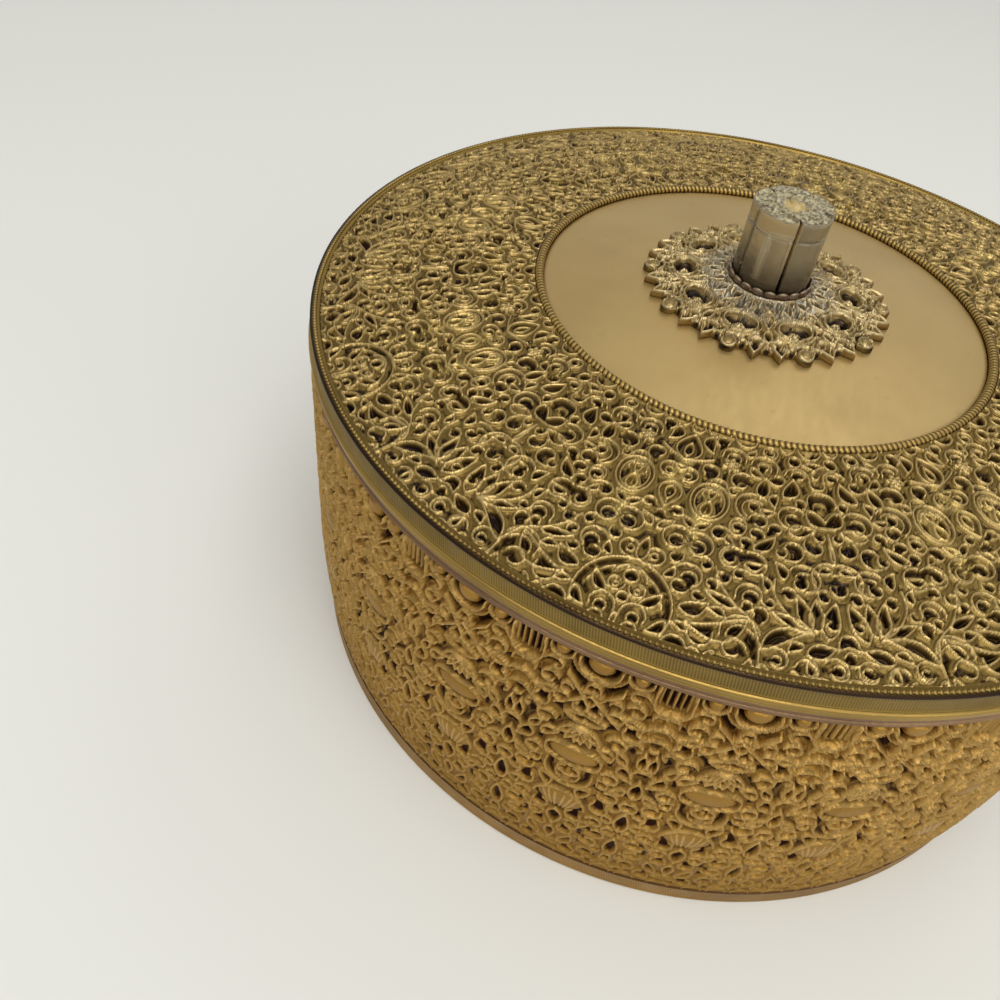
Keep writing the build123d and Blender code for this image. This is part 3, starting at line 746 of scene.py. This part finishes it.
def wall_side():
    """Embossed side of the box, deepest below the lip and shallow at the base."""
    rows, half = 268, 48
    foot_width, foot_height = 1.2, -0.25
    height = np.linspace(wall_bottom, wall_top, rows)
    z, a = np.meshgrid(height, half_repeat(half, wall_repeats), indexing="ij")
    relief = Relief(a * wall_radius, wall_top - z, scale=1.25, shelf=0.58)
    wall_ornament(relief)
    relief.fill(smallest=1.5, largest=2.3, lean=40.0)
    foot = z < wall_bottom + foot_width
    relief.height[foot] = np.maximum(relief.height[foot], foot_height)
    depth = np.interp(z, (wall_bottom, wall_waist, 50.0, wall_top), (1.0, 1.4, 2.0, 2.6))
    # Painted shade and highlight are weaker near the base and stronger towards the lip
    painted_light_strength = np.interp(z, (wall_bottom, 40.0, wall_top), (0.6, 1.2, 1.5))
    hollow = np.minimum(relief.hollows(reach=8) * painted_light_strength, 1)
    crest = relief.crest * np.minimum(painted_light_strength, 1)
    column, angle = unfolded(half, wall_repeats, wall_phase)
    radius = (wall_profile(z) + relief.height * depth)[:, column]
    outside = round_axis(radius, z[:, column], angle)
    inside = round_axis(band_inner, np.array([[wall_top], [wall_bottom]]), angle)
    ring_piece(
        "side_embossing", np.vstack([outside, inside]), "box", wall_gilt, "wall_shell",
        blocks=6, values=vertex_values(column, 0, 2, crest=crest, hollow=hollow),
    )


wall_side()


# Ribbed bands, rolled edges, pearls and rope
def ribbed_band(name, radius, levels, inner, ribs, edge_round, body, material, node):
    """Band with fine ribs on its outside that lean a little, with painted shade in the rib grooves and a
    line of painted shade along its upper edge.
    """
    groove, steps, lean, plain = 0.13, 4, 0.12, 0.35
    rib_shade, line_shade = 0.5, 0.9
    bottom, top = levels
    low = bottom + edge_round
    angle = full_turn(ribs * steps)
    phase = np.arange(ribs * steps) % steps / steps
    middle = list(np.linspace(low + plain, top - 1.3 * plain, 5))
    face = [low, low + plain * 0.5] + middle + [top - plain, top]
    profile = [(radius - edge_round, bottom), (radius - 0.3 * edge_round, bottom + 0.3 * edge_round)]
    first = len(profile)
    profile += [(radius, z) for z in face] + [(inner, top), (inner, bottom)]
    rows = turned(profile, len(angle))
    hollow = np.zeros(rows.shape[:2])
    for k, z in enumerate(face, first):
        ribbed = low + plain <= z <= top - 1.2 * plain
        cut = (0.5 - 0.5 * np.cos(2 * math.pi * (phase + lean * (z - bottom) * ribs / radius))) * ribbed
        rows[k] = round_axis(radius - groove * cut, z, angle)
        hollow[k] = rib_shade * cut + (z >= top - plain) * line_shade
    values = {"hollow": hollow, "crest": np.zeros(hollow.shape)}
    ring_piece(name, rows, body, material, node, blocks=4, values=values)


def rolled_edge(name, inner, levels, rolls, body, material, node):
    """Ring with rounded rolls outside, one above the other; each roll is (radius, lowest, highest)."""
    profile = [(inner, levels[0])]
    for outer, low, high in rolls:
        half = (high - low) / 2
        profile += arc_points(outer - half, low + half, half, -80, 80, 9)
    profile += [(inner, levels[1])]
    ring_piece(name, turned(profile, 720), body, material, node, blocks=2)


def pearl_row():
    """Tiny pearls along the rim band's top edge."""
    pearls, steps, around, radius, inset = 622, 8, 8, 0.45, 0.9
    share = (np.arange(pearls * steps) % steps + 0.5) / steps * 2 - 1
    size = radius * np.sqrt(1 - share**2)
    tilt = np.linspace(0, math.pi, around)[:, None]
    rows = round_axis(
        lid_radius - inset + size * np.cos(tilt), rim_top + size * np.sin(tilt), full_turn(pearls * steps)
    )
    ring_piece("pearls", rows, "lid", pearl_gilt, "pearl_row", blocks=4)


def rope_ring():
    """Twisted ring round the disc."""
    twists, steps, around, groove = 286, 8, 14, 0.26
    half = rope_width / 2
    angle = full_turn(twists * steps)
    tilt = full_turn(around)[:, None]
    strand = np.abs(np.cos((twists * angle + tilt) / 2)) ** 0.6
    reach = half * (1 - groove + groove * strand)
    radius = rope_outer - half + reach * np.cos(tilt)
    height = rope_top - half + reach * np.sin(tilt)
    rows = round_axis(radius, height, angle)
    # Painted shade between the twists and painted highlight on the strands
    values = {"hollow": 1 - strand, "crest": 2 * strand - 1}
    ring_piece("rope", rows, "lid", rope_gilt, "rope_ring", blocks=3, values=values)


ribbed_band(
    "rim_ribs", lid_radius, (rim_bottom, rim_top), rim_inner, 1240, 0.0,
    "lid", band_gilt, "rim_band",
)
ribbed_band(
    "base_ribs", base_radius, (0.0, base_top), band_inner - base_flange_width, 1120, 0.5,
    "box", foot_gilt, "base_band",
)
rolled_edge(
    "bright_bead", rim_inner, (seat_height, bead_top),
    [
        (bead_radius - 0.35, seat_height, seat_height + 0.95),
        (bead_radius, seat_height + 1.0, bead_top - 0.1),
    ],
    "lid", bead_gilt, "lower_bead",
)
rolled_edge(
    "copper_lip", band_inner, (wall_top, seat_height),
    [(lid_radius, wall_top, wall_top + 1.0), (lid_radius - 0.15, wall_top + 1.05, seat_height)],
    "box", lip_copper, "body_lip",
)
pearl_row()
rope_ring()


# Lid: satin disc and rosette
def disc_height(radius):
    """Height of the disc's shallow dome at a radius."""
    sphere = (disc_radius**2 + disc_dome**2) / (2 * disc_dome)
    return disc_apex - sphere + np.sqrt(sphere**2 - radius**2)


def satin_disc():
    """Plain disc with a few shallow dents from use."""
    columns, bevel, dents = 360, 0.15, 26
    edge = disc_height(np.array([disc_radius]))[0]
    radius = np.linspace(disc_radius - bevel, screw_hole, 70)
    profile = [(disc_radius, edge - disc_thickness), (disc_radius, edge - bevel)]
    profile += list(zip(radius, disc_height(radius))) + [(screw_hole, disc_apex - disc_thickness)]
    rows = turned(profile, columns)
    face = rows[2:-1]
    dice = np.random.default_rng(5)
    for _ in range(dents):
        x, y = dice.uniform(-disc_radius, disc_radius, 2)
        wide, deep = dice.uniform(2.0, 7.0), dice.uniform(0.01, 0.035)
        gap = np.hypot(face[..., 0] - x, face[..., 1] - y)
        face[..., 2] -= deep * np.exp(-((gap / wide) ** 2))
    ring_piece("disc", rows, "lid", satin_gilt, "centre_disc", blocks=2)


satin_disc()


def rosette_outline(angle):
    """Edge of the rosette within half a repeat: a bead on its axis, then a point; angle in radians."""
    valley, bead, point_angle, point_slope = rosette_radius - 2.1, 1.5, math.radians(12), 1.5
    middle = rosette_radius - bead
    reach = np.clip(bead**2 - (middle * np.sin(angle)) ** 2, 0, None)
    round_bead = np.where(reach > 0, middle * np.cos(angle) + np.sqrt(reach), 0)
    point = rosette_radius - point_slope * np.abs(angle - point_angle) * rosette_radius
    return np.maximum(valley, np.maximum(round_bead, point))


def at(angle, distance):
    """A place on the flat rosette, at an angle from the bead's axis and a distance from the centre."""
    return distance * math.sin(math.radians(angle)), distance * math.cos(math.radians(angle))


def rosette_ornament(relief):
    """Half a repeat of the rosette: x is across from the bead's axis, y the distance from the centre."""
    r = relief.ridge
    # Frame of the window
    r(oval(0, window_ring, 3.3, 2.5, 36))
    r(oval(0, window_ring, 4.1, 3.3, 36), 0.85)
    # Edge: round bead, pointed leaf with a dark core, and arches that join them
    relief.boss(0, 23.1, 1.15, 1.15, 0.0, -0.35)
    r(scroll(0, 23.1, 1.35, 0, 360))
    r(leaf(*at(12, 19.6), *at(12, 24.4), 1.35))
    r(stem(at(0, 20.6), at(5, 21.2), at(9.5, 20.4), at(14, 20.2), at(18, 20.9)))
    r(leaf(*at(18, 17.6), *at(18, 21.4), 0.8))
    # Between the windows and towards the knob
    r(leaf(*at(18, 12.0), *at(18, 17.2), 1.0))
    r(scroll(*at(11.5, 19.2), 0.85, 200, 290, 0.6), 0.9)
    r(scroll(*at(14.2, 13.4), 0.95, 120, -290, 0.6), 0.9)
    r(oval(*at(9, 11.5), 0.75, 0.95, 18), 0.92)
    r(leaf(*at(0, 9.0), *at(0, 13.2), 0.9))
    r(leaf(*at(18, 8.8), *at(18, 12.0), 0.8))
    r(oval(*at(0, 10.2), 0.5, 0.6, 14), 0.9)
    r(oval(*at(9, 9.3), 0.55, 0.6, 14), 0.9)


def rosette_windows(relief):
    """Windows right through the casting, each with a small flower on its floor, and smaller openings."""
    floor, flower_rise, petals, opening = -1.75, 1.1, 5, -1.6
    across, along = relief.x / 2.55, (relief.y - window_ring) / 1.8
    reach = np.hypot(across, along)
    flower = np.exp(-((reach / 0.7) ** 2)) * (0.6 + 0.4 * np.cos(petals * np.arctan2(along, across)))
    window = reach < 1
    relief.height[window] = (flower_rise * flower + floor)[window]
    # Painted highlight on the small flower
    relief.crest[window] = 0.9 * flower[window]
    for angle, distance, size in (
        (9, 11.5, 0.75), (9, 9.4, 0.5), (12, 21.9, 0.75), (18, 19.6, 0.5), (18, 14.6, 0.62), (0, 11.4, 0.6),
        (7, 20.6, 0.5),
    ):
        x, y = at(angle, distance)
        eye = np.hypot(relief.x - x, (relief.y - y) * 0.6) < size
        # The openings sink to the bottom, where they get full painted shade
        relief.height[eye] = opening
        relief.crest[eye] = 0.0


def pierced_rosette():
    """Cast rosette: windows down to the disc, petals, beads and points."""
    rows, half, depth = 110, 44, 1.5
    flat_radius, flat_height, edge_shade = 8.6, -0.1, 0.3
    turn = half_repeat(half, rosette_repeats)
    share = np.linspace(0, 1, rows)[:, None]
    r = rosette_outline(turn) * (1 - share) + (screw_hole + 0.1) * share
    relief = Relief(r * np.sin(turn), r * np.cos(turn), scale=0.6, shelf=0.5)
    rosette_ornament(relief)
    relief.fill(smallest=1.05, largest=1.3)
    relief.height[r < flat_radius] = flat_height
    rosette_windows(relief)
    slope = np.interp(r, (rosette_middle, rosette_radius), (rosette_top, rosette_top - rosette_rise))
    top = np.maximum(slope + relief.height * depth, disc_height(r) + layer_gap)
    worn = np.interp(r, (rosette_middle, 12.5, 15.0), (1.0, 0.8, 0.0))
    column, angle = unfolded(half, rosette_repeats, rosette_phase)
    radius, top = r[:, column], top[:, column]
    points = np.vstack([
        round_axis(radius[:1], disc_height(radius[:1]) + layer_gap, angle),
        round_axis(radius, top, angle),
        round_axis(radius[-1:], disc_apex, angle),
    ])
    # Painted shade in the recesses and openings, and painted highlight on the crests
    values = vertex_values(column, 1, 1, crest=relief.crest, hollow=relief.hollows(reach=7), worn=worn)
    values["hollow"][0] = edge_shade
    ring_piece(
        "rosette_casting", points, "lid", rosette_gilt, "rosette", blocks=2, values=values
    )


pierced_rosette()


# Knob
def claw_cup():
    """Shallow cup of small petals that holds the knob's foot."""
    petals, steps, notch, low_edge = 20, 24, 0.45, 0.15
    hole, inner = screw_hole + 0.1, knob_radius + layer_gap
    angle = full_turn(petals * steps)
    petal = np.abs(np.sin(petals * angle / 2)) ** 0.7
    outer = cup_radius - notch * (1 - petal)
    top = knob_bottom + low_edge + (cup_top - knob_bottom - low_edge) * petal
    outside = [(outer, cup_bottom), (outer, cup_bottom + 0.35), (outer - 0.12, (cup_bottom + top) / 2)]
    edge = [(outer - 0.1, top - 0.12), (outer - 0.3, top), (inner, top - layer_gap)]
    inside = [(inner, knob_bottom), (hole, knob_bottom), (hole, cup_bottom)]
    rows = np.array([round_axis(r, z, angle) for r, z in outside + edge + inside])
    hollow, crest = np.zeros(rows.shape[:2]), np.zeros(rows.shape[:2])
    # Painted shade between the petals and inside the cup under the knob; painted highlight on the petal
    # tops
    hollow[1:5] = 1 - petal
    hollow[5:8] = 1.0
    crest[3:5] = petal
    values = {"hollow": hollow, "crest": crest, "worn": np.full(hollow.shape, 0.7)}
    ring_piece("claw_cup", rows, "lid", cup_gilt, "knob_cup", values=values)


def knob_crown(outline, angle, edge):
    """Rows of the knob's crinkled top, from its edge inwards: many small tilted facets."""
    facets, tilt, level = 170, 0.42, knob_top - 0.32
    dice = np.random.default_rng(11)
    centres = dice.uniform(-knob_radius, knob_radius, (facets, 2))
    tilts = dice.uniform(-tilt, tilt, (facets, 2))
    rows = []
    for share in np.linspace(1, 0.002, 40):
        radius = (outline - edge) * share
        gap = round_axis(radius, 0.0, angle)[:, None, :2] - centres
        k = np.hypot(gap[..., 0], gap[..., 1]).argmin(1)
        facet = (gap[np.arange(len(angle)), k] * tilts[k]).sum(1)
        rows.append(round_axis(radius, level + np.clip(facet, -0.4, 0.3), angle))
    return rows


def fluted_knob():
    """Clear column of five round lobes, with narrow slots, a line below its top and a crinkled top."""
    per_lobe, slot_width, slot_depth, slot_blend, swell, edge = 96, 0.6, 1.5, 0.12, 0.45, 0.35
    bore_radius, bore_depth, line_drop, line_depth, screw_view_reach = 2.05, 9.4, 3.9, 0.22, 2.6
    columns = per_lobe * knob_lobes
    angle = full_turn(columns, knob_phase, 0.5)
    share = (np.arange(columns) + 0.5) / per_lobe % 1
    off = np.minimum(share, 1 - share) * 2
    from_slot = (1 - off) * math.pi / knob_lobes * knob_radius
    slot = np.clip(((slot_width + slot_blend) / 2 - from_slot) / slot_blend, 0, 1)
    outline = knob_radius - swell * off**2 - slot_depth * slot
    line = knob_top - line_drop
    bore_end = knob_bottom + bore_depth
    bore = [(0.01, bore_end), (bore_radius, bore_end), (bore_radius, knob_bottom)]
    side = [(0.1, knob_bottom), (0.0, knob_bottom + 0.15)]
    side += [(0.0, z) for z in np.linspace(knob_bottom + 1, line - 0.5, 8)]
    side += [(0.0, line - 0.1), (line_depth, line), (line_depth, line + 0.2), (0.0, line + 0.3)]
    side += [(0.0, z) for z in np.linspace(line + 0.8, knob_top - edge, 5)]
    side += [(edge * 0.4, knob_top - edge * 0.35)]
    rows = [round_axis(radius, z, angle) for radius, z in bore]
    rows += [round_axis(outline - inset, z, angle) for inset, z in side]
    sides = len(rows)
    rows = np.array(rows + knob_crown(outline, angle, edge))
    top = np.zeros(rows.shape[:2])
    top[sides:] = 1.0
    distance = np.hypot(rows[..., 0], rows[..., 1])
    # Painted glints on the top, a painted view of the screw end near the middle, and painted shade in the
    # slots
    values = {"top": top, "painted_screw_view": top * np.clip(screw_view_reach - distance, 0, 1), "hollow": slot * (1 - top)}
    ring_piece("fluted_knob", rows, "lid", acrylic, "knob", closed=False, values=values)


claw_cup()
fluted_knob()


# Inside: cloth-covered card, padded floor, and felt under the bottom
def side_cloth():
    """Cloth-covered card round the inside, with soft upright puckers and a rolled upper edge."""
    puckers, columns, thickness, roll, swell = 72, 1440, 1.3, 0.6, 0.22
    angle = full_turn(columns)
    levels = np.linspace(lining_top - roll, floor_bottom + 0.1, 30)
    profile = [(lining_radius, floor_bottom + layer_gap), (lining_radius, lining_top - 0.5)]
    profile += arc_points(lining_radius - roll - layer_gap, lining_top - roll, roll, 20, 160, 7)
    smooth = len(profile)
    rows = turned(profile + [(lining_radius - thickness, z) for z in levels], columns)
    for k, z in enumerate(levels):
        held = math.sin(math.pi * k / (len(levels) - 1)) ** 0.5
        wave = swell * held * (0.5 + 0.5 * np.cos(puckers * angle + 1.3 * np.sin(7 * angle + 0.05 * z)))
        rows[smooth + k] += round_axis(wave, 0.0, angle)
    ring_piece("side_cloth", rows, "box", lining_cloth, "side_lining", blocks=2)


def floor_cushion():
    """Padded floor: a low crown with a piped edge, drawn in at a ring of small tufts and in its middle."""
    columns, tufts, tuft_ring, tuft_depth, tuft_width = 360, 8, 46.0, 0.75, 4.5
    piping, edge_share, middle = 0.6, 0.62, 0.05
    low, edge = floor_bottom + layer_gap, floor_radius - 0.2
    radius = np.concatenate([np.linspace(edge - 1.6, 3.0, 60), [middle]])
    rise = edge_share + (1 - edge_share) * (1 - (radius / edge) ** 4)
    foot = [(middle, low), (edge - piping, low)]
    foot += arc_points(edge - piping, low + piping, piping, -60, 150, 8)
    crown = turned(list(zip(radius, low + (floor_top - low) * rise)), columns)
    places = [(0.0, 0.0, 0.0), *round_axis(tuft_ring, 0.0, full_turn(tufts))]
    for x, y, _ in places:
        gap = np.hypot(crown[..., 0] - x, crown[..., 1] - y)
        crown[..., 2] -= tuft_depth * np.exp(-((gap / tuft_width) ** 2))
    rows = np.vstack([turned(foot, columns), crown])
    obj = ring_piece(
        "floor_cushion", rows, "box", lining_cloth, "floor_pad", closed=False, blocks=2
    )


def lid_cloth():
    """Cloth-covered card inside the lid, with a soft roll at its edge and fine radial puckers."""
    columns, hole, thickness, puckers, swell, steps = 720, 5.75, 0.75, 60, 0.12, 24
    outer, flat, angle = card_radius - 0.4, card_top - thickness, full_turn(columns)
    top = [(outer, card_bottom + thickness), (ring_inner, card_top), (hole, card_top)]
    under = [(r, flat) for r in np.linspace(hole, ring_inner, steps)]
    under += [
        (ring_inner + (outer - ring_inner) * s, flat + (card_bottom - flat) * s)
        for s in np.linspace(0, 1, steps)[1:]
    ]
    rows = turned(under + top, columns)
    for k in range(len(under)):
        held = math.sin(math.pi * k / (len(under) - 1))
        rows[k, :, 2] += swell * held * (0.5 + 0.5 * np.cos(puckers * angle))
    ring_piece("lid_cloth", rows, "lid", lining_cloth, "lid_lining", blocks=2)


def foot_felt():
    """Pressed felt under the bottom plate, with a slightly uneven face."""
    columns, edge, face, middle = 360, 0.3, 0.02, 0.05
    angle = full_turn(columns)
    low = [(r, face) for r in np.linspace(middle, felt_radius - edge, 50)]
    high = [(felt_radius, felt_top - 0.2), (felt_radius - 0.2, felt_top), (middle, felt_top)]
    rows = turned(low + [(felt_radius, edge)] + high, columns)
    for k, (r, _) in enumerate(low):
        across, along = r * np.cos(angle), r * np.sin(angle)
        rows[k, :, 2] += 0.06 * (0.5 + 0.5 * np.sin(0.9 * across) * np.sin(0.8 * along + 1))
    ring_piece("foot_felt", rows, "box", felt, "base_felt", closed=False, blocks=2)


side_cloth()
floor_cushion()
lid_cloth()
foot_felt()


# Plain CAD pieces get their material
for node in ("bottom_plate", "inner_sleeve", "lid_pan", "knob_washer", "knob_screw"):
    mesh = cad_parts[node].data
    mesh.materials.clear()
    mesh.materials.append(plain_brass)


# Stage, light and camera
def stage_floor():
    """Pale table."""
    bpy.ops.mesh.primitive_plane_add(size=6.0)
    floor = bpy.context.object
    floor.name = "floor"
    s = Shader("floor")
    s.set(Base_Color=srgb(228, 228, 222), Roughness=0.9)
    floor.data.materials.append(s.material)


def surround():
    """White surround that lights the shadows."""
    world = bpy.data.worlds.new("surround")
    bpy.context.scene.world = world
    world.use_nodes = True
    sockets = world.node_tree.nodes["Background"].inputs
    sockets["Color"].default_value = (1.0, 0.995, 0.98, 1.0)
    sockets["Strength"].default_value = 0.55


def lamps():
    """Soft lamps above, at the window side and over the far side, all turned to the box."""
    target = Vector((0, 0, 0.05))
    for name, place, size, power in (
        ("overhead", (0.1, -0.4, 1.0), 0.8, 6.0),
        ("window", (0.85, -0.6, 0.6), 0.6, 1.8),
        ("far_ceiling", (0.15, 0.7, 0.95), 0.5, 0.9),
    ):
        lamp = bpy.data.lights.new(name, "AREA")
        lamp.size = size
        lamp.energy = power
        lamp.color = (1.0, 0.99, 0.97)
        obj = bpy.data.objects.new(name, lamp)
        obj.location = place
        obj.rotation_euler = (target - Vector(place)).to_track_quat("-Z", "Y").to_euler()
        bpy.context.scene.collection.objects.link(obj)


def camera():
    """The photograph's viewpoint, found from the lid's circles. Distances are in radii of the lid."""
    yaw, tilt, roll = 0.2855, 0.7965, 0.1428
    back, above = 1.844, 1.0937
    focal_pixels, image_pixels = 880.3, 1000.0
    forward = Vector((-math.sin(yaw) * math.cos(tilt), math.cos(yaw) * math.cos(tilt), -math.sin(tilt)))
    right = Vector((math.cos(yaw), math.sin(yaw), 0.0))
    up = right.cross(forward)
    across = right * math.cos(roll) + up * math.sin(roll)
    upward = up * math.cos(roll) - right * math.sin(roll)
    data = bpy.data.cameras.new("camera")
    data.sensor_width = 36.0
    data.lens = data.sensor_width * focal_pixels / image_pixels
    data.clip_start = 0.005
    obj = bpy.data.objects.new("camera", data)
    turn = Matrix((across, upward, -forward)).transposed().to_4x4()
    lid_edge = Vector((0, 0, rim_top * MM))
    obj.matrix_world = Matrix.Translation(lid_edge + Vector((0, -back, above)) * lid_radius * MM) @ turn
    bpy.context.scene.collection.objects.link(obj)
    bpy.context.scene.camera = obj


stage_floor()
surround()
lamps()
camera()
bpy.context.scene.view_settings.view_transform = "Standard"
